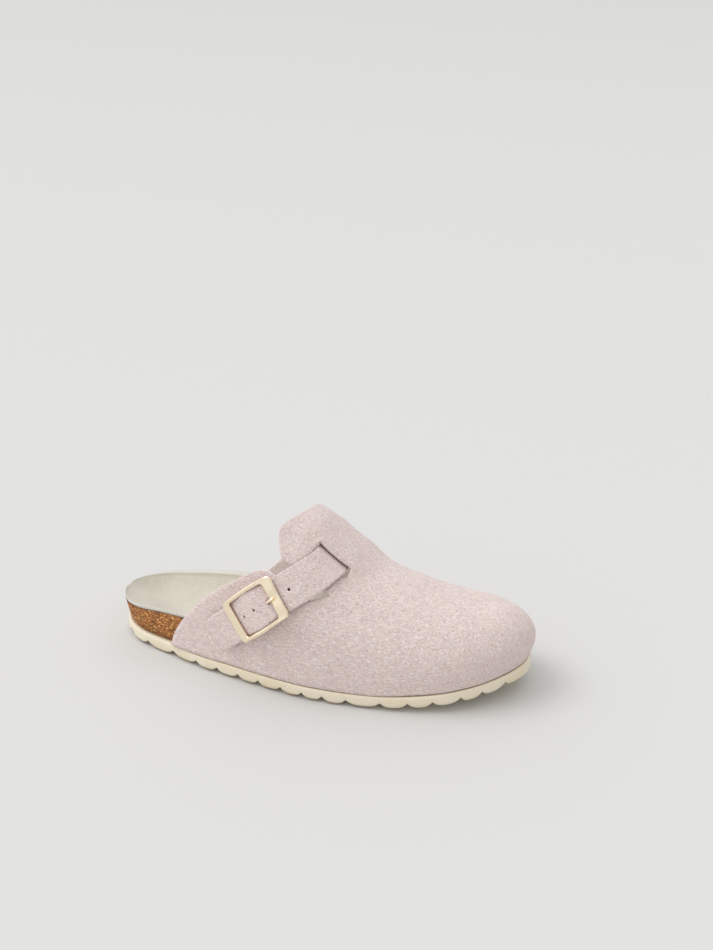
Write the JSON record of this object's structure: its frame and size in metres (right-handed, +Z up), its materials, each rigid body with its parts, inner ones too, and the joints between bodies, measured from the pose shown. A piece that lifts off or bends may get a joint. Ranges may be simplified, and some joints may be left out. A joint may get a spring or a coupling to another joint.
{
  "type": "clog slipper",
  "caption": "Right felt clog slipper with a cork footbed, a ribbed sole and a buckled strap under its tongue.",
  "frame": {"origin": "middle of the shoe's bounding box in plan, on the floor under the sole", "axes": "+X towards the toe, +Y towards the inner (medial) side of the right foot, +Z up"},
  "size_m": [0.2596, 0.0998, 0.0991],
  "materials": {
    "outsole_foam": "matte cream foam rubber",
    "cork": "fine ground cork, unvarnished",
    "suede_lining": "grey-beige suede",
    "wool_felt": "pale heathered pink wool felt",
    "strap_felt": "pale heathered pink wool felt",
    "pale_gold": "pale champagne gold, finely brushed"
  },
  "bodies": {
    "root": {"outsole": "outsole_foam", "footbed": "cork", "insole_lining": "suede_lining", "upper": "wool_felt", "strap": "strap_felt", "buckle_tab": "wool_felt", "buckle_frame": "pale_gold", "buckle_prong": "pale_gold", "strap_rivet": "pale_gold"}
  },
  "joints": []
}
